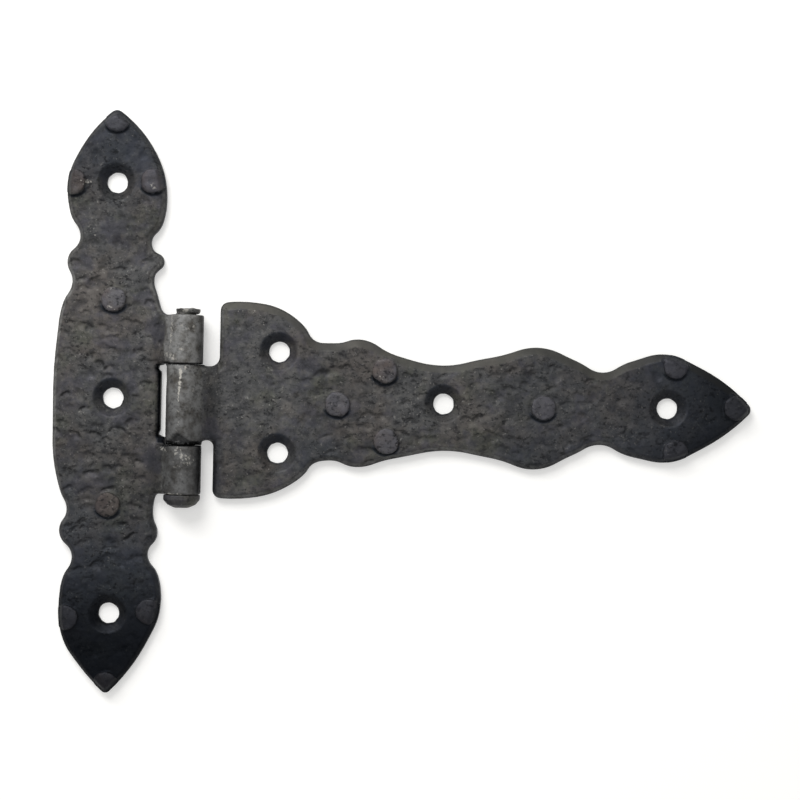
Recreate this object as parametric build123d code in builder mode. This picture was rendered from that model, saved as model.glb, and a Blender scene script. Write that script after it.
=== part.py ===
from build123d import *
import math
import os
import random

os.makedirs("parts", exist_ok=True)

# A cast iron tee hinge with a hammered front, lying on its back at rest.
# The origin is on the mounting plane, under the pin and half way along the
# barrel. +X runs along the strap, +Y along the pin, +Z out of the front.
# All sizes are in millimetres.

# Plates
plate_thickness = 3.5
plate_length = 160
rim_bevel = 1.1
spear_tip_radius = 2.0
lower_tip_radius = 1.3
strap_corner_radius = 2.2

# Barrel and pin
barrel_radius = 4.9
pin_height = barrel_radius
pin_radius = 2.6
bore_radius = pin_radius + 0.08
neck_radius = 2.5
upper_knuckle = (10.6, 23.3)
strap_knuckle = (-8.95, 10.2)
lower_knuckle = (-23.0, -10.3)
head_profile = [(4.75, 0), (4.75, 1.3), (3.65, 2.6), (1.9, 3.4)]
peen_radius = 3.0
peen_height = 1.6

# Plan sizes beside the barrel
tee_slot_x = -6.2
upper_ear_fillet = 2.4
lower_ear_fillet = 1.2
slot_corner_radius = 1.0
strap_upper_x = 8.8
strap_lower_x = 7.6
strap_upper_fillet = 2.4
strap_lower_fillet = 1.6
strap_top_y = 26.6
strap_bottom_y = -23.7
seam_notch = [(-3.6, -9.6), (-0.7, -7.4), (3.0, -9.6)]

# Countersunk screw holes
screw_hole_radius = 2.65
countersink_radius = 4.9
countersink_angle = 90
tee_screw_x = -18.7
tee_screw_y = 1.5
tee_screw_pitch = 55.8
strap_inner_x = 24.2
strap_inner_y = 1.2
strap_inner_pitch = 26.2
strap_outer_x = 96.0
strap_outer_y = 1.7
strap_outer_pitch = 58.0

# Cast nail heads
nail_radius = 2.95
nail_height = 1.2
nail_foot_z = plate_thickness - rim_bevel
nail_sides = 12
nail_taper = 14

# Hammer dents: shallow and five-sided, in three sizes on a loose grid
dent_pitch = 6.4
dent_jitter = 0.7
dent_radii = [1.7, 2.1, 2.45]
dent_depths = [0.20, 0.28, 0.34]
dent_sides = 5
dent_floor = 0.4
dent_unevenness = 0.15
dent_overlap = 0.06
dent_gap = 0.25

# Edges of the two plates in plan. Each point is a crest, a hollow or the
# shoulder between them, and smooth arcs run through them in turn.
tee_left_edge = [
    (-19.0, 76.4),
    (-26.9, 68.0),
    (-31.4, 57.0),
    (-30.6, 49.2),
    (-27.9, 43.0),
    (-31.1, 36.9),
    (-29.7, 31.2),
    (-32.1, 25.6),
    (-33.5, 16.0),
    (-34.1, -3.0),
    (-33.4, -16.3),
    (-31.9, -22.4),
    (-30.0, -27.6),
    (-31.85, -32.7),
    (-28.45, -40.4),
    (-30.7, -45.3),
    (-31.55, -51.2),
    (-30.3, -61.2),
    (-25.4, -68.6),
    (-18.9, -75.2),
]
tee_right_upper_edge = [
    (-6.1, upper_knuckle[1]),
    (-7.5, 27.6),
    (-8.6, 33.1),
    (-6.1, 37.0),
    (-9.45, 41.1),
    (-6.5, 47.5),
    (-6.2, 58.2),
    (-10.6, 68.2),
    (-19.0, 76.4),
]
tee_right_lower_edge = [
    (-18.9, -75.2),
    (-9.4, -63.0),
    (-5.4, -53.0),
    (-6.1, -44.4),
    (-8.95, -39.0),
    (-6.5, -33.5),
    (-7.75, -28.5),
    (-7.0, lower_knuckle[0]),
]
strap_top_edge = [
    (strap_upper_x, strap_top_y),
    (13.9, 27.1),
    (26.4, 24.35),
    (30.6, 20.95),
    (33.0, 17.65),
    (38.6, 16.85),
    (45.0, 17.95),
    (54.5, 14.0),
    (66.3, 11.65),
    (78.6, 13.85),
    (93.2, 16.6),
    (101.1, 13.55),
    (107.6, 10.7),
    (115.6, 13.75),
    (123.4, 15.75),
    (134.2, 11.95),
    (147.2, 1.75),
]
strap_bottom_edge = [
    (147.2, 1.75),
    (134.7, -8.25),
    (125.6, -12.2),
    (116.1, -11.05),
    (106.6, -8.15),
    (100.6, -10.9),
    (92.4, -14.6),
    (79.0, -12.0),
    (68.7, -10.45),
    (54.0, -12.8),
    (44.2, -15.1),
    (38.0, -13.55),
    (33.6, -14.5),
    (31.0, -17.55),
    (25.3, -21.4),
    (12.9, -24.0),
    (strap_lower_x, strap_bottom_y),
]

# Nail head centres. Those at the spear tips run into the plate's edge.
tee_nails = [
    (-18.7, 73.4),
    (-9.1, 57.7),
    (-29.6, 57.1),
    (-18.7, 27.0),
    (-19.2, -26.0),
    (-29.4, -55.4),
    (-8.1, -53.5),
    (-18.7, -72.3),
]
strap_nails = [
    (39.6, 1.1),
    (51.7, 9.9),
    (52.3, -8.2),
    (92.7, 1.2),
    (126.6, 12.6),
    (127.0, -9.6),
    (142.4, 2.2),
]

tee_screws = [
    (tee_screw_x, tee_screw_y + step * tee_screw_pitch) for step in (-1, 0, 1)
]
strap_screws = [
    (strap_inner_x, strap_inner_y - strap_inner_pitch / 2),
    (strap_inner_x, strap_inner_y + strap_inner_pitch / 2),
    (strap_outer_x - strap_outer_pitch / 2, strap_outer_y),
    (strap_outer_x + strap_outer_pitch / 2, strap_outer_y),
]


def corner(sketch, point):
    """The vertex of a sketch nearest to a point."""
    return sketch.vertices().sort_by_distance((*point, 0))[0]


def smooth_arcs(points):
    """Arcs through points, two to each step, that meet without a kink."""
    spots = [Vector(*point) for point in points]
    steps = [end - start for start, end in zip(spots, spots[1:])]
    headings = [
        (before / before.length**2 + after / after.length**2).normalized()
        for before, after in zip(steps, steps[1:])
    ]
    first, last = steps[0].normalized(), steps[-1].normalized()
    headings.insert(0, first * (2 * first.dot(headings[0])) - headings[0])
    headings.append(last * (2 * last.dot(headings[-1])) - headings[-1])
    with BuildLine() as edge:
        for i, step in enumerate(steps):
            turn = headings[i] + headings[i + 1]
            bend = 2 - 2 * headings[i].dot(headings[i + 1])
            along = step.dot(turn)
            arm = step.dot(step) / (along + math.sqrt(along**2 + bend * step.dot(step)))
            leave = spots[i] + headings[i] * arm
            arrive = spots[i + 1] - headings[i + 1] * arm
            meet = (leave + arrive) / 2
            TangentArc(spots[i], meet, tangent=headings[i])
            TangentArc(meet, spots[i + 1], tangent=arrive - leave)
    return edge.line


def tee_outline():
    """Plan of the frame leaf: two spears and the slotted body between them."""
    upper_low, upper_high = upper_knuckle
    lower_low, lower_high = lower_knuckle
    with BuildSketch() as outline:
        with BuildLine():
            add(smooth_arcs(tee_left_edge))
            add(smooth_arcs(tee_right_lower_edge))
            Polyline(
                tee_right_lower_edge[-1],
                (0, lower_low),
                (0, lower_high),
                (tee_slot_x, lower_high),
                (tee_slot_x, upper_low),
                (0, upper_low),
                (0, upper_high),
                tee_right_upper_edge[0],
            )
            add(smooth_arcs(tee_right_upper_edge))
        make_face()
        fillet(corner(outline, tee_left_edge[0]), spear_tip_radius)
        fillet(corner(outline, tee_left_edge[-1]), lower_tip_radius)
        fillet(corner(outline, tee_right_upper_edge[0]), upper_ear_fillet)
        fillet(corner(outline, tee_right_lower_edge[-1]), lower_ear_fillet)
        for slot_end in (lower_high, upper_low):
            fillet(corner(outline, (tee_slot_x, slot_end)), slot_corner_radius)
    return outline.sketch


def strap_outline():
    """Plan of the door leaf: a wide heel, two waists and the end spear."""
    knuckle_low, knuckle_high = strap_knuckle
    with BuildSketch() as outline:
        with BuildLine():
            add(smooth_arcs(strap_top_edge))
            add(smooth_arcs(strap_bottom_edge))
            Polyline(
                strap_bottom_edge[-1],
                (strap_lower_x, knuckle_low),
                (0, knuckle_low),
                (0, knuckle_high),
                (strap_upper_x, knuckle_high),
                strap_top_edge[0],
            )
        make_face()
        fillet(corner(outline, strap_top_edge[-1]), spear_tip_radius)
        fillet(corner(outline, strap_top_edge[0]), strap_corner_radius)
        fillet(corner(outline, strap_bottom_edge[-1]), strap_corner_radius)
        fillet(corner(outline, (strap_lower_x, knuckle_low)), strap_lower_fillet)
        fillet(corner(outline, (strap_upper_x, knuckle_high)), strap_upper_fillet)
    return outline.sketch


def knuckle(leaf_side, ends):
    """One length of the barrel, with the neck that blends it into its leaf."""
    low_y, high_y = ends
    neck_height = plate_thickness + neck_radius
    reach = barrel_radius + neck_radius
    neck_x = leaf_side * math.sqrt(reach**2 - (neck_height - pin_height) ** 2)
    blend_x = neck_x * barrel_radius / reach
    blend_z = pin_height + (neck_height - pin_height) * barrel_radius / reach
    with BuildPart() as piece:
        with BuildSketch(Plane.XZ.offset(-high_y)):
            with Locations((0, pin_height)):
                Circle(barrel_radius)
        extrude(amount=high_y - low_y)
        with BuildSketch(Plane.XZ.offset(-high_y)):
            with BuildLine():
                Polyline((0, pin_height), (0, 0), (neck_x, 0), (neck_x, plate_thickness))
                RadiusArc(
                    (neck_x, plate_thickness), (blend_x, blend_z), -leaf_side * neck_radius
                )
                Line((blend_x, blend_z), (0, pin_height))
            make_face()
        extrude(amount=high_y - low_y)
    return piece.part


def hammer_spots(outline, obstacles, chance):
    """Centres and sizes of the dents that fit between a plate's other features."""
    edge = outline.faces()[0].outer_wire()
    box = outline.bounding_box()
    spots = []
    row_pitch = dent_pitch * math.sqrt(3) / 2
    rows = int(box.size.Y / row_pitch) + 1
    columns = int(box.size.X / dent_pitch) + 1
    for row in range(rows):
        for column in range(columns):
            x = box.min.X + (column + 0.5 * (row % 2)) * dent_pitch
            y = box.min.Y + row * row_pitch
            x += chance.uniform(-dent_jitter, dent_jitter)
            y += chance.uniform(-dent_jitter, dent_jitter)
            size = chance.randrange(len(dent_radii))
            reach = dent_radii[size] + dent_gap
            inside = outline.faces()[0].is_inside(Vector(x, y, 0))
            if not inside or edge.distance_to(Vertex(x, y, 0)) < reach + rim_bevel:
                continue
            if any(math.dist((x, y), spot) < reach + radius for spot, radius in obstacles):
                continue
            if any(math.dist((x, y), other[:2]) < reach + dent_radii[other[2]] for other in spots):
                continue
            spots.append((x, y, size))
    return spots


def dent_plug(spot, chance):
    """Uneven plug that narrows to a flat floor and presses one dent into the front."""
    x, y, size = spot
    low, high = plate_thickness - dent_depths[size], plate_thickness + dent_overlap
    turn = chance.uniform(0, 360 / dent_sides)
    corners = []
    for side in range(dent_sides):
        angle = math.radians(turn + side * 360 / dent_sides)
        reach = dent_radii[size] * chance.uniform(1 - dent_unevenness, 1)
        u, v = reach * math.cos(angle), reach * math.sin(angle)
        corners.append((x + u, y + v, high))
        corners.append((x + u * dent_floor, y + v * dent_floor, low))
    return ConvexPolyhedron(corners)


def hammer_dents(outline, obstacles, seed):
    """All the dent plugs of one plate."""
    chance = random.Random(seed)
    return [dent_plug(spot, chance) for spot in hammer_spots(outline, obstacles, chance)]


def nail_heads(outline, nails):
    """Tapered nail heads, cut off where they reach a plate's edge."""
    height = plate_thickness + nail_height - nail_foot_z
    with BuildPart() as heads:
        with BuildSketch(Plane.XY.offset(nail_foot_z)):
            with Locations(*nails):
                RegularPolygon(nail_radius, nail_sides)
        extrude(amount=height, taper=nail_taper)
        with BuildSketch(Plane.XY.offset(nail_foot_z)):
            add(outline)
        extrude(amount=height, mode=Mode.INTERSECT)
    return heads.part


def clear_spots(screws, nails):
    """Circles that the hammer dents keep out of."""
    barrel_span = range(int(lower_knuckle[0]), int(upper_knuckle[1]), 2)
    barrel = [((0, y), barrel_radius + neck_radius) for y in barrel_span]
    holes = [(spot, countersink_radius) for spot in screws]
    heads = [(spot, nail_radius) for spot in nails]
    return barrel + holes + heads


# Frame leaf: plate, two outer knuckles, nail heads, screw holes and dents
tee_plan = tee_outline()
tee_dents = hammer_dents(tee_plan, clear_spots(tee_screws, tee_nails), seed=3)
with BuildPart() as tee_leaf:
    add(tee_plan)
    extrude(amount=plate_thickness)
    chamfer(tee_leaf.faces().sort_by(Axis.Z)[-1].outer_wire().edges(), rim_bevel)
    for ends in (lower_knuckle, upper_knuckle):
        add(knuckle(-1, ends))
    with BuildSketch(Plane.XZ):
        with Locations((0, pin_height)):
            Circle(bore_radius)
    extrude(amount=plate_length, both=True, mode=Mode.SUBTRACT)
    add(nail_heads(tee_plan, tee_nails))
    with Locations(*[(x, y, plate_thickness) for x, y in tee_screws]):
        CounterSinkHole(
            screw_hole_radius, countersink_radius, counter_sink_angle=countersink_angle
        )
    add(tee_dents, mode=Mode.SUBTRACT)
tee_leaf.part.label = "tee_leaf"
export_step(tee_leaf.part, "parts/tee_leaf.step")

# Door leaf: plate, middle knuckle with its worn notch, nail heads, holes, dents
strap_plan = strap_outline()
strap_dents = hammer_dents(strap_plan, clear_spots(strap_screws, strap_nails), seed=8)
with BuildPart() as strap_leaf:
    add(strap_plan)
    extrude(amount=plate_thickness)
    chamfer(strap_leaf.faces().sort_by(Axis.Z)[-1].outer_wire().edges(), rim_bevel)
    add(knuckle(1, strap_knuckle))
    with BuildSketch(Plane.XZ):
        with Locations((0, pin_height)):
            Circle(bore_radius)
    extrude(amount=plate_length, both=True, mode=Mode.SUBTRACT)
    with BuildSketch(Plane.XY.offset(pin_height)):
        with BuildLine():
            Polyline(*seam_notch, close=True)
        make_face()
    extrude(amount=2 * barrel_radius, mode=Mode.SUBTRACT)
    add(nail_heads(strap_plan, strap_nails))
    with Locations(*[(x, y, plate_thickness) for x, y in strap_screws]):
        CounterSinkHole(
            screw_hole_radius, countersink_radius, counter_sink_angle=countersink_angle
        )
    add(strap_dents, mode=Mode.SUBTRACT)
strap_leaf.part.label = "strap_leaf"
export_step(strap_leaf.part, "parts/strap_leaf.step")

# Pin: a rivet with a domed head below and an end peened over above
seat_low = lower_knuckle[0]
seat_high = upper_knuckle[1]
with BuildPart() as hinge_pin:
    with BuildSketch(Plane.XY.offset(pin_height)):
        with BuildLine():
            Polyline(
                (0, seat_high + peen_height),
                (peen_radius, seat_high + peen_height),
                (pin_radius, seat_high),
                (pin_radius, seat_low),
                *[(radius, seat_low - drop) for radius, drop in head_profile],
                (0, seat_low - head_profile[-1][1]),
                close=True,
            )
        make_face()
    revolve(axis=Axis((0, 0, pin_height), (0, 1, 0)))
hinge_pin.part.label = "hinge_pin"
export_step(hinge_pin.part, "parts/hinge_pin.step")

print(len(tee_dents) + len(strap_dents), "hammer dents")
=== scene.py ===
import math
import random

import bmesh
import bpy
from mathutils import Matrix, Vector, noise
from mathutils.kdtree import KDTree


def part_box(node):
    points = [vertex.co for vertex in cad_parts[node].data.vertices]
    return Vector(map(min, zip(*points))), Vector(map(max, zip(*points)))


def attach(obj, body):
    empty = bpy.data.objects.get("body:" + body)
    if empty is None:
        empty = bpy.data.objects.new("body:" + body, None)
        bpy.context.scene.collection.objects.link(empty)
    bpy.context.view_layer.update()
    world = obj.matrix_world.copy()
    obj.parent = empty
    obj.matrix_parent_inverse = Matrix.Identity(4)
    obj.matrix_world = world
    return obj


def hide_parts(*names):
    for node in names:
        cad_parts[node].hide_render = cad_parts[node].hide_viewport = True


# A black cast iron tee hinge with a hammered front, lying on its back.
# Lengths in the helper functions are in millimetres; meshes are in metres.

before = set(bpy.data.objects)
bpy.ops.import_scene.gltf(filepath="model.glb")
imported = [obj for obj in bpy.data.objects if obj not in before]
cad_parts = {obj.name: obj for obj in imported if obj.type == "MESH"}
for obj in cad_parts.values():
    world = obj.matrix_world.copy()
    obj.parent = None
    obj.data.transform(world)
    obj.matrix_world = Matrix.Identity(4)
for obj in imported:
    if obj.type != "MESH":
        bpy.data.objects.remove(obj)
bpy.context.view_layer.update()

MM = 0.001
PLATE = 3.5
BARREL_RADIUS = 4.9
BARREL_SPAN = (-23.6, 24.0)
SHOULDER_RADIUS = 4.85
BORE_RADIUS = 2.68
COUNTERSINK = 4.9
NAIL_RADIUS = 2.95
# Above this height, a point near a nail is on its crown
CROWN_LEVEL = 3.9
# Mean distance between hammer blows
BLOW_PITCH = 4.6
# The front rim's bevel: its width, its height at the plate's side and its rise from there
BEVEL_WIDTH = 1.1
BEVEL_START = 2.3
BEVEL_RISE = 1.2
# A leaf's neck: where it starts on the barrel, how far it runs and the barrel's slope there
NECK_START = 3.6
NECK_LENGTH = 6.4
NECK_SLOPE = 1.083
# Stretches of the barrel where each leaf joins its knuckles
NECK_SPANS = {
    "tee_leaf": [(-22.7, -10.6), (10.9, 23.0)],
    "strap_leaf": [(-8.7, 9.9)],
}
# Joints between knuckles: the stretch that closes up, and where each leaf's face comes to lie
KNUCKLE_JOINTS = [
    (9.7, 11.3, {"strap_leaf": 10.53, "tee_leaf": 10.62}),
    (-11.0, -9.5, {"strap_leaf": -10.22, "tee_leaf": -10.32}),
]
# Shoulder rings of the strap's knuckle: where each starts and ends along the pin
SHOULDERS = [(-10.18, -6.6), (9.9, 10.52)]
# Bays at the slot's ends: the stretch along the pin, where each begins and is full, and its depth
SLOT_BAYS = [
    ((8.4, 10.62), (8.4, 9.3), 0.7),
    ((-8.6, -6.0), (-6.4, -7.6), 0.4),
]
# The bit of plate past the slot's lower end: its middle and its size
SLOT_END = (-6.3, -9.6, 1.74)
SLOT_END_SIZE = (3.0, 2.6, 3.47)
SCREW_SPOTS = {
    "tee_leaf": [(-18.7, -54.3), (-18.7, 1.5), (-18.7, 57.3)],
    "strap_leaf": [(24.2, -11.9), (24.2, 14.3), (67.0, 1.7), (125.0, 1.7)],
}
NAIL_SPOTS = {
    "tee_leaf": [
        (-18.7, 73.4), (-9.1, 57.7), (-29.6, 57.1), (-18.7, 27.0),
        (-19.2, -26.0), (-29.4, -55.4), (-8.1, -53.5), (-18.7, -72.3),
    ],
    "strap_leaf": [
        (39.6, 1.1), (51.7, 9.9), (52.3, -8.2), (92.7, 1.2),
        (126.6, 12.6), (127.0, -9.6), (142.4, 2.2),
    ],
}
# Nail heads that run out into the rim, and the way to it
RIM_NAILS = {
    "tee_leaf": [
        ((-18.7, 73.4), (0, 1)), ((-9.1, 57.7), (1, 0)), ((-29.6, 57.1), (-1, 0)),
        ((-29.4, -55.4), (-1, 0)), ((-8.1, -53.5), (1, 0)), ((-18.7, -72.3), (0, -1)),
    ],
    "strap_leaf": [((126.6, 12.6), (0, 1)), ((127.0, -9.6), (0, -1)), ((142.4, 2.2), (1, 0))],
}
# Bare streaks and patches: two ends, half width and strength
BARE_STREAKS = {
    "tee_leaf": [
        ((-2.8, 22.8), (-3.2, 16.5), 0.6, 0.8),
        ((-3.2, 16.5), (-3.4, 13.0), 0.5, 0.5),
        ((-4.3, 13.0), (-2.2, 12.0), 1.3, 0.8),
        ((-2.0, 11.4), (1.5, 11.2), 0.6, 0.4),
        ((1.2, 22.3), (3.2, 22.9), 0.5, 0.8),
        ((-2.4, 20.6), (1.4, 19.8), 1.4, 0.5),
        ((2.7, 20.2), (3.0, 19.4), 0.7, 0.6),
        ((-1.6, 14.8), (0.2, 14.2), 0.9, 0.55),
        ((-5.4, -11.1), (-4.2, -11.6), 1.0, 0.7),
        ((-0.9, -11.8), (2.2, -14.2), 2.2, 0.6),
        ((-1.5, -15.0), (1.0, -17.5), 1.6, 0.35),
        ((-4.6, -18.6), (-4.9, -21.2), 0.7, 0.55),
        ((-3.8, -22.7), (0.4, -22.8), 0.4, 0.7),
        ((-34.2, -6.5), (-32.0, -9.5), 2.6, 0.3),
        ((-31.0, -10.5), (-29.0, -16.5), 1.8, 0.18),
        ((-9.9, 57.0), (-8.4, 55.6), 1.2, 0.5),
        ((-27.5, 57.4), (-25.2, 57.0), 0.8, 0.7),
        ((-20.8, 25.4), (-18.4, 24.5), 0.6, 0.7),
        ((-25.5, 45.5), (-23.8, 43.8), 1.2, 0.5),
        ((-20.5, -14.0), (-14.5, -16.0), 2.4, 0.12),
    ],
    "strap_leaf": [
        ((0.9, 9.6), (-0.6, 7.8), 0.7, 0.9),
        ((-2.4, 9.3), (-0.4, 8.6), 0.8, 0.5),
        ((-0.3, 9.2), (-0.6, 4.4), 0.65, 1.0),
        ((-0.6, 4.4), (-0.9, 0.6), 0.5, 0.9),
        ((-1.2, 0.6), (-0.6, -3.4), 0.6, 0.6),
        ((-0.6, -3.4), (-1.3, -6.6), 0.6, 0.5),
        ((3.7, 6.4), (2.7, 3.2), 0.4, 0.5),
        ((2.0, 8.4), (3.6, 7.6), 0.5, 0.4),
        ((13.6, 24.6), (19.5, 24.3), 0.9, 0.35),
        ((49.6, 9.0), (51.0, 8.0), 0.8, 0.6),
        ((90.8, 0.6), (92.0, -0.8), 0.8, 0.5),
    ],
}
# What a mesh tells its material: painted shade on the upper wall of each blow, painted shade in
# gaps, round holes and nails and away from the light, rubbed and bare metal, the crowns of nail
# heads and the wide sloped rim
LAYERS = ("brow_shade", "painted_shade", "rub", "bare", "cap", "rim")
LIGHT_AIM = (20, 10, 0)
# The camera's place, in metres, and how many degrees it is off square with the hinge
CAMERA_PLACE = (0.0557, 0.0025, 0.491)
CAMERA_TURN = 1.2


def colour(code):
    """An sRGB hex colour as linear RGBA."""
    parts = [int(code[i:i + 2], 16) / 255 for i in (1, 3, 5)]
    return [p / 12.92 if p <= 0.04045 else ((p + 0.055) / 1.055) ** 2.4 for p in parts] + [1]


def smooth_step(low, high, value):
    """0 at low, 1 at high and an even curve between them, whichever is the larger."""
    t = max(0.0, min(1.0, (value - low) / (high - low)))
    return t * t * (3 - 2 * t)


def grain(x, y, z, size, seed):
    """Smooth noise from -1 to 1 whose lumps are about size millimetres across."""
    return noise.noise(Vector((x / size + seed, y / size, z / size)))


def closest(x, y, spots):
    """The nearest of several points, and how far off it is."""
    spot = min(spots, key=lambda place: math.dist((x, y), place))
    return spot, math.dist((x, y), spot)


def to_streak(x, y, start, end):
    """Distance to a straight streak."""
    run = Vector(end) - Vector(start)
    share = max(0.0, min(1.0, (Vector((x, y)) - Vector(start)).dot(run) / run.length_squared))
    return (Vector((x, y)) - Vector(start) - run * share).length


def search_tree(places):
    """Search tree over places whose first two values are x and y."""
    tree = KDTree(len(places))
    for i, place in enumerate(places):
        tree.insert((place[0], place[1], 0), i)
    tree.balance()
    return tree


def points_of(mesh):
    """Every point of a mesh and the way its surface faces, in millimetres."""
    places = [0.0] * (3 * len(mesh.vertices))
    facings = [0.0] * (3 * len(mesh.vertices))
    mesh.vertices.foreach_get("co", places)
    mesh.vertex_normals.foreach_get("vector", facings)
    for i in range(0, len(places), 3):
        yield [c / MM for c in places[i:i + 3]], facings[i:i + 3]


def reshape(mesh, moved, layers):
    """Moves every point and stores the named values on the mesh."""
    mesh.vertices.foreach_set("co", [c * MM for place in moved for c in place])
    for name, values in layers.items():
        mesh.attributes.new(name, "FLOAT", "POINT").data.foreach_set("value", values)
    mesh.update()


def slot_end(form):
    """The plate reaches a little past the lower knuckle, under the gap beside it."""
    place = Matrix.Translation(Vector(SLOT_END) * MM)
    size = Matrix.Diagonal([length * MM for length in SLOT_END_SIZE] + [1])
    bmesh.ops.create_cube(form, size=1, matrix=place @ size)


def shoulder(form, start, end):
    """A narrower ring that fills the gap between two knuckles round the pin."""
    ends = [(BORE_RADIUS, start), (SHOULDER_RADIUS, start), (SHOULDER_RADIUS, end), (BORE_RADIUS, end)]
    corners = [form.verts.new((r * MM, y * MM, BARREL_RADIUS * MM)) for r, y in ends]
    edges = [form.edges.new((corners[i], corners[(i + 1) % 4])) for i in range(4)]
    bmesh.ops.spin(
        form, geom=corners + edges, cent=(0, 0, BARREL_RADIUS * MM), axis=(0, 1, 0), dvec=(0, 0, 0),
        angle=math.tau, steps=48, use_merge=True,
    )


def knuckle_shoulders(form):
    """Shoulders at both ends of the strap's knuckle."""
    for start, end in SHOULDERS:
        shoulder(form, start, end)


def dense_copy(node, name, voxel, rounds, added=None):
    """A closed, evenly meshed copy of a CAD node with its edges rubbed soft."""
    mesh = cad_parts[node].data.copy()
    mesh.materials.clear()
    form = bmesh.new()
    form.from_mesh(mesh)
    bmesh.ops.remove_doubles(form, verts=form.verts, dist=0.002 * MM)
    if added:
        added(form)
        bmesh.ops.recalc_face_normals(form, faces=form.faces)
    form.to_mesh(mesh)
    form.free()
    rough = bpy.data.objects.new(name + "_rough", mesh)
    bpy.context.scene.collection.objects.link(rough)
    remesh = rough.modifiers.new("even mesh", "REMESH")
    remesh.mode = "VOXEL"
    remesh.voxel_size = voxel * MM
    soften = rough.modifiers.new("rubbed edges", "SMOOTH")
    soften.factor = 0.5
    soften.iterations = rounds
    bpy.context.view_layer.update()
    depsgraph = bpy.context.evaluated_depsgraph_get()
    final = bpy.data.meshes.new_from_object(rough.evaluated_get(depsgraph))
    final.name = name
    bpy.data.objects.remove(rough)
    piece = bpy.data.objects.new(name, final)
    bpy.context.scene.collection.objects.link(piece)
    for face in final.polygons:
        face.use_smooth = True
    return piece


def neck_height(across):
    """Height of the even slope from the barrel's flank down to the plate."""
    t = max(0.0, min(1.0, (across - NECK_START) / NECK_LENGTH))
    start = BARREL_RADIUS + math.sqrt(BARREL_RADIUS**2 - NECK_START**2)
    fall = NECK_LENGTH * NECK_SLOPE * (t - 2 * t**2 + t**3)
    return start * (1 - 3 * t**2 + 2 * t**3) - fall + PLATE * (3 * t**2 - 2 * t**3)


def blend_neck(piece, side, spans):
    """Fills the corner where a leaf's plate runs into its knuckles, and smooths round it."""
    form = bmesh.new()
    form.from_mesh(piece.data)
    neck = []
    for v in form.verts:
        x, y, z = v.co / MM
        across = side * x
        joined = any(start < y < end for start, end in spans)
        on_neck = NECK_START < across < NECK_START + NECK_LENGTH
        if joined and on_neck and z > 3.2 and v.normal.z > -0.2:
            v.co.z = max(z, min(neck_height(across), z + 2.4)) * MM
        if 3.3 < across < 10.5 and -23.5 < y < 23.8 and z > 3.0:
            neck.append(v)
    for _ in range(12):
        bmesh.ops.smooth_vert(
            form, verts=neck, factor=0.5, use_axis_x=True, use_axis_y=True, use_axis_z=True
        )
    form.to_mesh(piece.data)
    form.free()


def hammer_blows(box_low, box_high, pitch, seed):
    """Centres, half widths, half heights, tilts and forces of scattered blows."""
    chance = random.Random(seed)
    blows = []
    y = box_low[1]
    row = 0
    while y < box_high[1]:
        x = box_low[0] + (row % 2) * pitch / 2
        while x < box_high[0]:
            blows.append((
                x + chance.uniform(-0.4, 0.4) * pitch,
                y + chance.uniform(-0.4, 0.4) * pitch,
                chance.uniform(1.5, 3.1),
                chance.uniform(0.9, 1.8),
                chance.uniform(-0.45, 0.45),
                chance.uniform(0.15, 1.0),
            ))
            x += pitch
        y += pitch * 0.8
        row += 1
    return blows


def blow_mark(x, y, blows, tree):
    """How deep the blows leave a point, and how much it lies on a steep upper brow, where shade is
    painted.
    """
    depth = brow = 0.0
    ragged = smooth_step(-0.6, 0.1, grain(x, y, 0, 0.95, 61))
    x += 0.65 * grain(x, y, 0, 2.1, 31)
    y += 0.55 * grain(x, y, 0, 1.6, 47)
    for _, i, _ in tree.find_range((x, y, 0), 3.0):
        cx, cy, wide, high, tilt, force = blows[i]
        u = ((x - cx) * math.cos(tilt) + (y - cy) * math.sin(tilt)) / wide
        v = ((y - cy) * math.cos(tilt) - (x - cx) * math.sin(tilt)) / high
        reach = math.hypot(u, v)
        if reach < 1:
            inside = 1 - reach
            depth = max(depth, force * smooth_step(0, 0.5, inside) * (0.55 + 0.45 * v))
            steep = smooth_step(0.02, 0.22, inside) * (1 - smooth_step(0.32, 0.78, inside))
            brow = max(brow, force * ragged * steep * smooth_step(0.05, 0.75, v / reach))
    return depth, brow


def side_walls(mesh):
    """Points of the plate's side walls, the way each faces, and their search tree."""
    walls = [
        (x, y, side, along)
        for (x, y, z), (side, along, up) in points_of(mesh)
        if 1.0 < z < 2.0 and abs(up) < 0.4
    ]
    return walls, search_tree(walls)


class SkinPoint:
    """A point of a leaf's skin. Its distances and shares are those from before it moves."""

    def __init__(self, place, facing, node, seed):
        x, y, z = place
        self.x, self.y, self.z = x, y, z
        self.side, self.along, self.up = facing
        self.screw, self.to_screw = closest(x, y, SCREW_SPOTS[node])
        self.nail, self.to_nail = closest(x, y, NAIL_SPOTS[node])
        self.to_pin = math.hypot(x, z - BARREL_RADIUS)
        self.beside_barrel = BARREL_SPAN[0] < y < BARREL_SPAN[1]
        self.on_barrel = smooth_step(5.4, 4.6, abs(x) + 0.5 * grain(x, y, z, 3.0, seed))
        self.on_barrel *= self.beside_barrel and z > 4.0
        # Shares from 0 to 1: of the front, and clear of screw holes, nail heads and barrel
        self.front = smooth_step(0.15, 0.8, self.up) * (z > 2.2)
        self.off_hole = smooth_step(COUNTERSINK - 0.4, COUNTERSINK + 1.0, self.to_screw)
        self.off_nail = smooth_step(NAIL_RADIUS - 0.1, NAIL_RADIUS + 1.2, self.to_nail)
        self.off_barrel = smooth_step(5.0, 6.4, self.to_pin) if self.beside_barrel else 1.0
        # What the steps below find out
        self.rim = self.edge = self.outline = 0.0
        self.lift = self.brow_shade = self.gap_shade = 0.0

    def lifted(self):
        """The point's place after it is lifted along its facing, at most 0.16 upwards."""
        return (
            self.x + self.side * self.lift,
            self.y + self.along * self.lift,
            self.z + self.up * min(self.lift, 0.16),
        )


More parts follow.
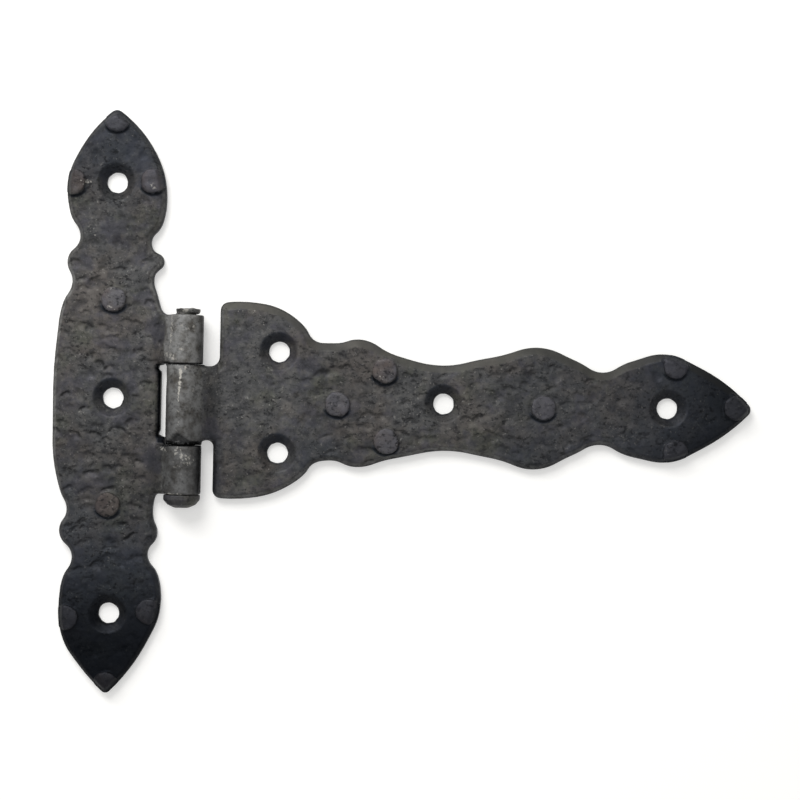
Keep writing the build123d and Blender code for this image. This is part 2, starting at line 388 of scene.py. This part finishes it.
def widen_head(point, seed):
    """Spreads a nail head to its full, slightly uneven round."""
    if point.z <= 3.3 or point.to_nail >= 4.4 or point.up <= -0.5:
        return
    x, y = point.x, point.y
    middle = point.nail
    away = max(math.dist((x, y), middle), 0.01)
    growth = 0.08 + 0.28 * smooth_step(3.6, 4.3, point.z)
    uneven = 0.3 * grain(x, y, 0, 2.2, seed + 41) * smooth_step(1.5, 2.5, away)
    wider = away * (1 + growth * smooth_step(4.4, 3.0, away)) + uneven * smooth_step(4.4, 3.0, away)
    point.x = middle[0] + (x - middle[0]) * wider / away
    point.y = middle[1] + (y - middle[1]) * wider / away


def run_out_nail(point, off, nail, way):
    """Lets a nail head that the outline cuts run out flush into the rim."""
    out = (point.x - nail[0]) * way[0] + (point.y - nail[1]) * way[1]
    aside = abs((point.x - nail[0]) * way[1] - (point.y - nail[1]) * way[0])
    if -4 < out < 6 and aside < 5:
        top = 2.5 + 2.1 * smooth_step(0.0, 1.7, off)
        rise = smooth_step(0.0, 1.4, out) * smooth_step(3.6 + 0.3 * out, 2.2, aside)
        point.z = min(point.z, top + 0.12)
        point.z += rise * max(0.0, top - point.z)


def bevel_rim(point, node, seed, walls, wall_tree):
    """Bevels the front rim, as a wide smooth slope on the strap's upper side."""
    near_barrel = point.beside_barrel and abs(point.x) < 8.5
    if point.z <= 2.0 or point.up <= -0.3 or near_barrel or point.to_screw <= 5.2:
        return
    _, i, off = wall_tree.find((point.x, point.y, 0))
    wall_x, wall_y, out_x, out_y = walls[i]
    outside = (point.x - wall_x) * out_x + (point.y - wall_y) * out_y
    if outside > 0:
        point.x -= outside * out_x
        point.y -= outside * out_y
        off = 0.0
    lit = smooth_step(0.2, 0.8, out_y) * (node == "strap_leaf")
    width = BEVEL_WIDTH + (0.85 + 0.3 * grain(point.x, point.y, 0, 9.0, seed + 3)) * lit
    near = smooth_step(width + 0.2, width - 0.2, off)
    beside_nail = smooth_step(NAIL_RADIUS + 0.3, NAIL_RADIUS + 1.5, point.to_nail)
    if off < width and point.z > 2.2:
        point.z -= beside_nail * max(0.0, point.z - BEVEL_START - BEVEL_RISE * off / width)
    point.rim = lit * near * beside_nail * (point.z > 2.2)
    sloped = smooth_step(0.97, 0.8, point.up) * (point.up > 0.2)
    point.edge = (1 - lit) * near * sloped * (point.z < PLATE)
    # A painted dark line along the outline, where the side wall is in shade, weaker on the strap's upper
    # side
    point.outline = 0.6 * smooth_step(0.55, 0.15, off) * (1 - 0.4 * lit)
    if point.z > BEVEL_START:
        for nail, way in RIM_NAILS[node]:
            run_out_nail(point, off, nail, way)


def beat(point, seed, strength, blows, blow_tree):
    """Presses the hammer marks and the scaly skin into the front."""
    x, y, z = point.x, point.y, point.z
    force = point.front * point.off_hole * point.off_nail * point.off_barrel
    force = force * (1 - point.rim) * strength
    depth, brow = blow_mark(x, y, blows, blow_tree)
    swell = grain(x, y, z, 7.0, seed) * 0.10 + grain(x, y, z, 2.6, seed + 7) * 0.05
    scaly = 0.35 + 0.65 * smooth_step(-0.3, 0.3, grain(x, y, z, 8.0, seed + 17))
    scale = 0.075 * scaly * (grain(x, y, z, 1.5, seed + 21) + 0.7 * grain(x, y, z, 0.85, seed + 22))
    skin = swell * point.off_barrel + scale * (1 - 0.7 * point.rim)
    point.lift = point.front * point.off_hole * skin + force * (0.07 - 0.42 * depth)
    # Painted shade on the steep upper wall of each blow, which faces away from the light above
    point.brow_shade = brow * force


def fray_hole(point, seed):
    """Leaves the edge of a screw hole slightly ragged, sideways only."""
    if point.to_screw < 3.4:
        ragged = 0.14 * grain(point.x, point.y, 0, 1.2, seed + 9)
        point.x += point.side * ragged
        point.y += point.along * ragged


def roughen(point, seed):
    """Makes the nail heads lumpy, and gives the barrel a finer skin than the plate."""
    x, y, z = point.x, point.y, point.z
    if z > CROWN_LEVEL and point.to_nail < NAIL_RADIUS + 0.6:
        point.lift += 0.18 * grain(x, y, z, 2.4, seed + 5) + 0.06 * grain(x, y, z, 1.0, seed + 6)
    if point.on_barrel > 0:
        point.lift = 0.06 * grain(x, y, z, 2.2, seed) + 0.05 * grain(x, y, z, 0.9, seed + 3) - 0.07


def close_joints(point, node):
    """Brings the end faces of neighbouring knuckles together, and paints shade where they meet."""
    if point.to_pin >= SHOULDER_RADIUS + 0.35 or abs(point.along) <= 0.35:
        return
    if (node == "strap_leaf") != (point.along * point.y > 0):
        return
    for start, end, face in KNUCKLE_JOINTS:
        if start < point.y < end:
            point.y = face[node]
            point.gap_shade = 1.0


def in_notch(x, y):
    """1 inside the worn notch at the lower end of the strap's knuckle."""
    brink = -9.55 + 2.2 * math.exp(-(((x + 0.9) / (2.6 if x > -0.9 else 2.0)) ** 2))
    return 1 - smooth_step(brink - 0.2, brink + 0.35, y)


def wear_strap_knuckle(point):
    """Cuts the worn notch, paints shade in it and on the knuckle's lower end, with less on a small worn
    spot in the notch, and flattens its flank by the slot.
    """
    x, y = point.x, point.y
    if point.to_pin < BARREL_RADIUS + 0.1 and y < -9.1:
        point.gap_shade = 0.9
    if point.z > BARREL_RADIUS and point.to_pin > 4.2 and -10.4 < y < -7.0:
        notch = in_notch(x, y) * smooth_step(4.9, 4.2, abs(x))
        point.lift -= 0.7 * notch
        worn = smooth_step(1.0, 0.5, math.hypot((x + 0.9) / 1.3, (y + 9.6) / 0.6))
        point.gap_shade = max(point.gap_shade, 0.85 * notch) - 0.4 * worn
    if x < -3.6 and abs(y) < 10.3:
        point.x += 0.35 * smooth_step(-3.6, -4.8, x)


def shape_slot(point):
    """Paints shade on the wall of the frame leaf's slot, and hollows a small bay at each end of it."""
    if -7.4 < point.x < -5.0 and -10.2 < point.y < 10.6 and point.z < 3.6:
        point.gap_shade = max(point.gap_shade, smooth_step(-7.3, -6.5, point.x))
    for (start, end), (shallow, full), depth in SLOT_BAYS:
        if -8.2 < point.x < -5.9 and start < point.y < end and point.z < 3.8:
            inner = smooth_step(-8.2, -6.4, point.x)
            point.x -= depth * inner * smooth_step(shallow, full, point.y)


def countersink_shade(point):
    """Painted shade on a countersink's side away from the light and round its hole, and how much lighter
    its lit side is painted.
    """
    if point.to_screw >= COUNTERSINK + 0.9 or point.z <= 1.0:
        return 0.0, 0.0
    shady = 0.9 * (point.y - point.screw[1]) - 0.4 * (point.x - point.screw[0])
    shady /= max(point.to_screw, 0.1)
    ring = smooth_step(5.3, 4.4, point.to_screw - 0.5 * max(0.0, shady))
    cone = max(0.62 * smooth_step(-0.2, 0.9, shady) * ring, 0.5 * smooth_step(3.3, 2.8, point.to_screw))
    lit_side = 0.25 * smooth_step(-0.1, -0.9, shady) * ring * smooth_step(2.8, 3.3, point.to_screw)
    return cone, lit_side


def nail_shadow(point, seed):
    """Painted shadow under a nail head, on the side away from the light."""
    if not NAIL_RADIUS < point.to_nail < 4.8 or not 2.4 < point.z < 4.2:
        return 0.0
    uneven = 0.25 * grain(point.x, point.y, point.z, 2.0, seed)
    down = (point.nail[1] - point.y + uneven) / point.to_nail
    return 0.95 * smooth_step(0.05, 0.7, down) * smooth_step(4.5, 3.5, point.to_nail)


def stains(point, node, seed, shade_at):
    """The values that the material reads, each by its name."""
    x, y = point.x, point.y
    cone, lit_side = countersink_shade(point)
    on_crown = point.z > CROWN_LEVEL and point.to_nail < NAIL_RADIUS + 0.3
    cap = on_crown * smooth_step(0.3, 0.8, point.up)
    bare = max(
        share * (1 - smooth_step(0.3 * wide, wide, to_streak(x, y, start, end)))
        for start, end, wide, share in BARE_STREAKS[node]
    )
    # Painted shade on the barrel: darker towards its lower end and, on the frame leaf, on its side away
    # from the light
    barrel = point.on_barrel * 0.56 * smooth_step(24, -18, y)
    barrel += 0.4 * (point.on_barrel * smooth_step(2.8, 4.9, x) * (node == "tee_leaf"))
    return {
        "brow_shade": point.brow_shade,
        "painted_shade": max(
            point.gap_shade,
            cone,
            nail_shadow(point, seed),
            # Painted shade that falls off away from the lit middle, less on a countersink's lit side
            shade_at(x, y) * (1 - lit_side) * (1 - 0.12 * cap),
            barrel,
            # Painted shade along the outline's edge and on the side walls, which lie out of the light
            point.outline,
            0.75 * smooth_step(0.4, 0.1, abs(point.up)),
        ),
        "rub": max(point.on_barrel, 0.7 * point.edge * (1 - shade_at(x, y))),
        "bare": bare * (point.up > 0.1),
        "cap": cap,
        "rim": point.rim,
    }


def hammer(piece, node, seed, force_at, shade_at):
    """Beats the front of a leaf, and stores where shade is painted, where it rubs and where metal is
    bare.
    """
    low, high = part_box(node)
    blows = hammer_blows((low.x / MM, low.y / MM), (high.x / MM, high.y / MM), BLOW_PITCH, seed)
    blow_tree = search_tree(blows)
    walls, wall_tree = side_walls(piece.data)
    moved = []
    layers = {layer: [] for layer in LAYERS}
    for place, facing in points_of(piece.data):
        point = SkinPoint(place, facing, node, seed)
        widen_head(point, seed)
        bevel_rim(point, node, seed, walls, wall_tree)
        beat(point, seed, force_at(point.x, point.y), blows, blow_tree)
        fray_hole(point, seed)
        roughen(point, seed)
        close_joints(point, node)
        if node == "strap_leaf":
            wear_strap_knuckle(point)
        else:
            shape_slot(point)
        moved.append(point.lifted())
        for layer, value in stains(point, node, seed, shade_at).items():
            layers[layer].append(value)
    reshape(piece.data, moved, layers)


def tee_force(x, y):
    """How hard the frame leaf was beaten: most on the body, least on the spears."""
    body = smooth_step(-52, -38, y) * (1 - smooth_step(30, 48, y))
    return 0.35 + 0.85 * body


def tee_shade(x, y):
    """Painted shade that falls off from the lit middle: darkest on the spears, the lower one most,
    towards its tip.
    """
    upper = 0.27 * smooth_step(32, 44, y) + 0.34 * smooth_step(48, 66, y)
    return 0.31 * smooth_step(30, -25, y) + 0.68 * smooth_step(-18, -64, y) + upper


def strap_force(x, y):
    """How hard the strap was beaten: less on the smooth heel, and least on the end spear."""
    return 0.45 + 0.6 * smooth_step(26, 42, x) - 0.75 * smooth_step(98, 118, x)


def strap_shade(x, y):
    """Painted shade: the strap darkens along its length, away from the lit middle, and towards its lower
    side, away from the light, with a patch by the barrel.
    """
    along = 0.24 * smooth_step(26, 32, x) - 0.12 * smooth_step(37, 45, x)
    along += 0.2 * smooth_step(76, 88, x) + 0.61 * smooth_step(102, 146, x)
    neck = smooth_step(5.0, 6.5, x) * smooth_step(11.5, 8.5, x) * smooth_step(8, 3, y)
    return along + 0.2 * smooth_step(0, -15, y) + 0.25 * neck


def add_node(tree, kind, inputs=None, output=0, **settings):
    """Adds a node with its settings and links, and gives one of its outputs."""
    node = tree.nodes.new(kind)
    for name, value in settings.items():
        setattr(node, name, value)
    for name, value in (inputs or {}).items():
        if isinstance(value, bpy.types.NodeSocket):
            tree.links.new(value, node.inputs[name])
        else:
            node.inputs[name].default_value = value
    return node.outputs[output] if node.outputs else node


def per_mm(size):
    """Noise scale that makes lumps size millimetres across in Object coordinates."""
    return 1000 / size


def iron_clouds(tree, seed):
    """Noise by the size of its lumps in millimetres. Two sizes are drawn out along the strap."""
    place = add_node(tree, "ShaderNodeTexCoord", output="Object")
    drawn = add_node(tree, "ShaderNodeMapping", {"Vector": place, "Scale": (0.65, 1, 1)})
    clouds = {}
    for size in (16, 9, 6.5, 2.4, 0.95, 0.6):
        clouds[size] = add_node(
            tree,
            "ShaderNodeTexNoise",
            {"Vector": place, "W": seed + size, "Scale": per_mm(size), "Detail": 4, "Roughness": 0.6},
            noise_dimensions="4D",
        )
    for size in (0.75, 2.1):
        clouds[size] = add_node(
            tree,
            "ShaderNodeTexNoise",
            {"Vector": drawn, "W": seed - size, "Scale": per_mm(size), "Detail": 3, "Roughness": 0.6},
            noise_dimensions="4D",
        )
    return clouds


def oxide_skin(tree, clouds, painted_shade):
    """Blue-black and brown-black stains, with a blue cast where the painted shade is deep."""
    tint = colour("#474747")
    # Lump size in mm, where the stain begins and is full, strength, colour
    for size, start, full, strength, code in [
        (16, 0.46, 0.60, 0.7, "#4d4844"),
        (9, 0.52, 0.64, 0.7, "#474840"),
        (6.5, 0.50, 0.40, 0.5, "#3a3943"),
        (2.4, 0.54, 0.66, 0.4, "#625f5b"),
        (2.4, 0.52, 0.38, 0.5, "#26272a"),
    ]:
        limits = {"Value": clouds[size], 1: start, 2: full, 4: strength}
        share = add_node(tree, "ShaderNodeMapRange", limits)
        tint = add_node(tree, "ShaderNodeMix", {0: share, 6: tint, 7: colour(code)}, 2, data_type="RGBA")
    blue = add_node(tree, "ShaderNodeMapRange", {"Value": painted_shade, 1: 0.25, 2: 0.7, 4: 0.5})
    return add_node(tree, "ShaderNodeMix", {0: blue, 6: tint, 7: colour("#3f4652")}, 2, data_type="RGBA")


def worn_parts(tree, tint, clouds, rub, rim, cap):
    """Blotchy grey where it rubs, olive on the sloped rim, violet or rust-brown nail heads."""
    blotch = add_node(tree, "ShaderNodeMapRange", {"Value": clouds[2.4], 1: 0.35, 2: 0.6})
    rust = add_node(tree, "ShaderNodeMapRange", {"Value": clouds[16], 1: 0.52, 2: 0.64})
    greys = {0: blotch, 6: colour("#4e4b46"), 7: colour("#80807f")}
    grey = add_node(tree, "ShaderNodeMix", greys, 2, data_type="RGBA")
    crowns = {0: rust, 6: colour("#55545a"), 7: colour("#514845")}
    crown = add_node(tree, "ShaderNodeMix", crowns, 2, data_type="RGBA")
    for layer, strength, over in [(rub, 0.8, grey), (rim, 0.6, colour("#494843")), (cap, 0.6, crown)]:
        share = add_node(tree, "ShaderNodeMath", {0: layer, 1: strength}, operation="MULTIPLY")
        tint = add_node(tree, "ShaderNodeMix", {0: share, 6: tint, 7: over}, 2, data_type="RGBA")
    return tint


def pits_and_grit(tree, tint, clouds, coarse):
    """Fine dark pits, and grit that catches the light."""
    # Lump size in mm, where the marks begin and are full, strength, colour
    for size, start, full, strength, code in [
        (2.1, 0.42, 0.34, 0.6, "#1b1b1f"),
        (0.75, 0.47, 0.36, 0.8, "#131315"),
        (0.95, 0.43, 0.32, 0.8, "#0e0e10"),
        (0.6, 0.60, 0.71, 0.65, "#8a8884"),
    ]:
        limits = {"Value": clouds[size], 1: start, 2: full, 4: strength}
        share = add_node(tree, "ShaderNodeMapRange", limits)
        share = add_node(tree, "ShaderNodeMath", {0: share, 1: coarse}, operation="MULTIPLY")
        tint = add_node(tree, "ShaderNodeMix", {0: share, 6: tint, 7: colour(code)}, 2, data_type="RGBA")
    return tint


def shade_and_bare_metal(tree, tint, clouds, brow_shade, painted_shade, bare):
    """Painted shade under the brow of each blow and wherever the shade layer is strong, and crumbs of
    bare metal.
    """
    # Painted shade: near black on the upper wall of each blow and where the shade layer is strong
    for layer, strength, code in [(brow_shade, 0.8, "#0b0b0d"), (painted_shade, 0.95, "#080a0d")]:
        share = add_node(tree, "ShaderNodeMath", {0: layer, 1: strength}, operation="MULTIPLY")
        tint = add_node(tree, "ShaderNodeMix", {0: share, 6: tint, 7: colour(code)}, 2, data_type="RGBA")
    terms = {0: bare, 1: 0.3, 2: clouds[0.6]}
    spread = add_node(tree, "ShaderNodeMath", terms, operation="MULTIPLY_ADD")
    crumbs = add_node(tree, "ShaderNodeMapRange", {"Value": spread, 1: 0.68, 2: 0.8})
    share = add_node(tree, "ShaderNodeMath", {0: bare, 1: crumbs}, operation="MULTIPLY")
    return add_node(tree, "ShaderNodeMix", {0: share, 6: tint, 7: colour("#a3a099")}, 2, data_type="RGBA")


def iron_bump(tree, clouds, coarse):
    """Shallow lumps, with fine pitting where the skin is coarse."""
    lumps = {"Height": clouds[2.4], "Strength": 0.5, "Distance": 0.2 * MM}
    bump = add_node(tree, "ShaderNodeBump", lumps)
    height = add_node(tree, "ShaderNodeMath", {0: clouds[0.95], 1: coarse}, operation="MULTIPLY")
    pitting = {"Height": height, "Strength": 0.9, "Distance": 0.14 * MM, "Normal": bump}
    return add_node(tree, "ShaderNodeBump", pitting)


def black_oxide_iron(name, seed):
    """Hammered cast iron, blackened and waxed: a dark satin skin in blue-black and
    brown-black stains, peppered with fine pits and grit, grey where it rubs, and
    darkened by the shade painted on the mesh."""
    material = bpy.data.materials.new(name)
    material.use_nodes = True
    tree = material.node_tree
    tree.nodes.clear()
    brow_shade, painted_shade, rub, bare, cap, rim = [
        add_node(tree, "ShaderNodeAttribute", output="Fac", attribute_name=layer)
        for layer in LAYERS
    ]
    clouds = iron_clouds(tree, seed)
    # How coarse the skin is: less where it is rubbed, and not at all on the sloped rim
    coarse = add_node(tree, "ShaderNodeMapRange", {"Value": clouds[6.5], 1: 0.42, 2: 0.6, 3: 0.35})
    spared = add_node(tree, "ShaderNodeMath", {0: rub, 1: 0.35, 2: rim}, operation="MULTIPLY_ADD")
    left = add_node(tree, "ShaderNodeMath", {0: 1, 1: spared}, operation="SUBTRACT", use_clamp=True)
    coarse = add_node(tree, "ShaderNodeMath", {0: coarse, 1: left}, operation="MULTIPLY")
    tint = oxide_skin(tree, clouds, painted_shade)
    tint = worn_parts(tree, tint, clouds, rub, rim, cap)
    tint = pits_and_grit(tree, tint, clouds, coarse)
    tint = shade_and_bare_metal(tree, tint, clouds, brow_shade, painted_shade, bare)
    # More metallic where shade is painted, which darkens it further
    metal = add_node(tree, "ShaderNodeMapRange", {"Value": painted_shade, 3: 0.4, 4: 1.0})
    satin = {"Value": clouds[6.5], 1: 0.3, 2: 0.7, 3: 0.5, 4: 0.62}
    shader = add_node(
        tree,
        "ShaderNodeBsdfPrincipled",
        {
            "Base Color": tint,
            "Metallic": metal,
            "Roughness": add_node(tree, "ShaderNodeMapRange", satin),
            "Specular IOR Level": 0.2,
            "Normal": iron_bump(tree, clouds, coarse),
        },
    )
    add_node(tree, "ShaderNodeOutputMaterial", {"Surface": shader})
    return material


def leaf(node, name, body, seed, side, force_at, shade_at, added):
    """A hammered iron leaf in place of its CAD node."""
    piece = dense_copy(node, name, voxel=0.35, rounds=3, added=added)
    blend_neck(piece, side, NECK_SPANS[node])
    hammer(piece, node, seed, force_at, shade_at)
    piece.data.materials.append(black_oxide_iron(name + "_black_oxide", seed))
    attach(piece, body)
    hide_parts(node)


def rivet_pin():
    """The pin, with its end beaten over unevenly and its head left black; its shank is painted in shade
    where it shows between the knuckles.
    """
    piece = dense_copy("hinge_pin", "riveted_pin", voxel=0.2, rounds=6)
    mesh = piece.data
    peen_start, peen_full, off_centre = 23.25, 23.8, 0.8
    moved = []
    layers = {"brow_shade": [], "painted_shade": [], "rub": [], "bare": []}
    for (x, y, z), (side, along, up) in points_of(mesh):
        lift = 0.05 * grain(x, y, z, 1.6, 2) - 0.03
        peened = smooth_step(peen_start, peen_full, y)
        if peened:
            lift = 0.36 * grain(x, y, z, 1.5, 5) - 0.1
        spread = x * (1 + 0.1 * peened)
        moved.append((spread + side * lift + off_centre * peened, y + along * lift, z + up * lift))
        layers["brow_shade"].append(0.0)
        # Painted shade: near black on the shank between the knuckles, a little on the head
        layers["painted_shade"].append(0.2 if y < -22 else 0.9 * (y < 20))
        layers["rub"].append(0.7 * peened)
        layers["bare"].append(peened * smooth_step(0.1, 0.5, grain(x, y, z, 1.2, 9)))
    reshape(mesh, moved, layers)
    mesh.materials.append(black_oxide_iron("pin_black_oxide", 5))
    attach(piece, "frame_side")
    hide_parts("hinge_pin")


def seen_share(tree):
    """1 for rays from the camera, in a mirror or through glass, and 0 for the rest."""
    rays = ["Is Camera Ray", "Is Glossy Ray", "Is Transmission Ray"]
    camera, glossy, through = [add_node(tree, "ShaderNodeLightPath", output=ray) for ray in rays]
    either = add_node(tree, "ShaderNodeMath", {0: camera, 1: glossy}, operation="MAXIMUM")
    return add_node(tree, "ShaderNodeMath", {0: either, 1: through}, operation="MAXIMUM")


def white_card():
    """White card that takes the shadow near the hinge, and fades to plain white far from it."""
    material = bpy.data.materials.new("white_card")
    material.use_nodes = True
    tree = material.node_tree
    tree.nodes.clear()
    card = add_node(tree, "ShaderNodeBsdfDiffuse", {"Color": colour("#dfdedb")})
    lift = add_node(tree, "ShaderNodeMath", {0: seen_share(tree), 1: 0.36}, operation="MULTIPLY")
    glow = add_node(tree, "ShaderNodeEmission", {"Color": (1, 1, 1, 1), "Strength": lift})
    near = add_node(tree, "ShaderNodeAddShader", {0: card, 1: glow})
    far = add_node(tree, "ShaderNodeEmission", {"Color": (1, 1, 1, 1), "Strength": seen_share(tree)})
    place = add_node(tree, "ShaderNodeTexCoord", output="Object")
    off = add_node(tree, "ShaderNodeVectorMath", {0: place}, "Value", operation="LENGTH")
    fade = {"Value": off, 1: 0.22, 2: 0.6}
    share = add_node(tree, "ShaderNodeMapRange", fade, interpolation_type="SMOOTHSTEP")
    surface = add_node(tree, "ShaderNodeMixShader", {0: share, 1: near, 2: far})
    add_node(tree, "ShaderNodeOutputMaterial", {"Surface": surface})
    return material


def pale_floor():
    """Plain white floor just under the hinge."""
    form = bmesh.new()
    bmesh.ops.create_grid(form, x_segments=1, y_segments=1, size=3)
    bmesh.ops.translate(form, verts=form.verts, vec=(0, 0, -0.05 * MM))
    mesh = bpy.data.meshes.new("floor")
    form.to_mesh(mesh)
    form.free()
    floor = bpy.data.objects.new("floor", mesh)
    bpy.context.scene.collection.objects.link(floor)
    mesh.materials.append(white_card())


def soft_light(name, place, size, power):
    """A square studio light that faces the hinge. Sizes and places are in millimetres."""
    lamp = bpy.data.lights.new(name, "AREA")
    lamp.size = size * MM
    lamp.energy = power
    holder = bpy.data.objects.new(name, lamp)
    holder.location = Vector(place) * MM
    aim = Vector(LIGHT_AIM) * MM - holder.location
    holder.rotation_euler = aim.to_track_quat("-Z", "Y").to_euler()
    bpy.context.scene.collection.objects.link(holder)


def overhead_camera():
    """Camera straight above the middle of the hinge."""
    camera = bpy.data.objects.new("camera", bpy.data.cameras.new("camera"))
    camera.data.lens = 85
    camera.data.sensor_width = 36
    camera.data.clip_start = 0.01
    camera.location = CAMERA_PLACE
    camera.rotation_euler = (0, 0, math.radians(CAMERA_TURN))
    bpy.context.scene.collection.objects.link(camera)
    bpy.context.scene.camera = camera


def white_surroundings():
    """Surroundings that look plain white and light the hinge with less than half of that."""
    world = bpy.data.worlds.new("surroundings")
    world.use_nodes = True
    tree = world.node_tree
    tree.nodes.clear()
    level = add_node(tree, "ShaderNodeMapRange", {"Value": seen_share(tree), 3: 0.45, 4: 1.0})
    sky = add_node(tree, "ShaderNodeBackground", {"Color": (1, 1, 1, 1), "Strength": level})
    add_node(tree, "ShaderNodeOutputWorld", {"Surface": sky})
    bpy.context.scene.world = world


def studio():
    """Camera, white surroundings and three soft lights."""
    bpy.context.scene.view_settings.view_transform = "Standard"
    overhead_camera()
    white_surroundings()
    soft_light("key light", (-130, 420, 520), size=300, power=2.65)
    soft_light("window light", (-330, 460, 300), size=320, power=1.3)
    soft_light("top light", (-54, 35, 900), size=320, power=0.8)


leaf(
    "tee_leaf", "hammered_tee_leaf", "frame_side", seed=11, side=-1,
    force_at=tee_force, shade_at=tee_shade, added=slot_end,
)
leaf(
    "strap_leaf", "hammered_strap_leaf", "door_side", seed=23, side=1,
    force_at=strap_force, shade_at=strap_shade, added=knuckle_shoulders,
)
rivet_pin()
pale_floor()
studio()
